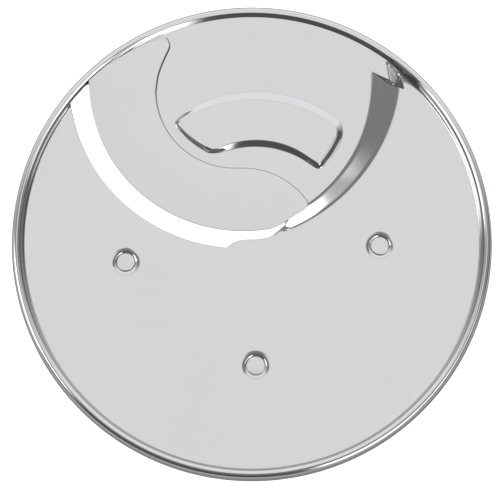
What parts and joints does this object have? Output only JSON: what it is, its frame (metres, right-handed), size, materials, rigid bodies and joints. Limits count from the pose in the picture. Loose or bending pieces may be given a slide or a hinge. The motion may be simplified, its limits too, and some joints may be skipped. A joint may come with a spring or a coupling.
{
  "type": "food processor slicing disc",
  "caption": "Round pressed-steel slicing disc with a rolled rim, a curved blade over a crescent slot, a ramp, a raised fan boss and studs for a detachable drive stem.",
  "frame": {"origin": "on the disc's axis of rotation, in the plane of the three stud ends that the disc stands on", "axes": "+Z along the axis, out of the cutting side; the front stud lies towards -Y, and the blade lies on the -X +Y side; the disc turns counter-clockwise about +Z"},
  "size_m": [0.178, 0.178, 0.0136],
  "materials": {
    "plate_steel": "bright rolled stainless sheet, finely brushed, with polished pressed bends",
    "blade_steel": "finely ground stainless blade, a shade darker than the disc",
    "stud_steel": "turned stainless, fine lathe rings"
  },
  "bodies": {
    "root": {"disc_plate": "plate_steel", "slicing_blade": "blade_steel", "drive_stud_left": "stud_steel", "drive_stud_front": "stud_steel", "drive_stud_right": "stud_steel"}
  },
  "joints": []
}
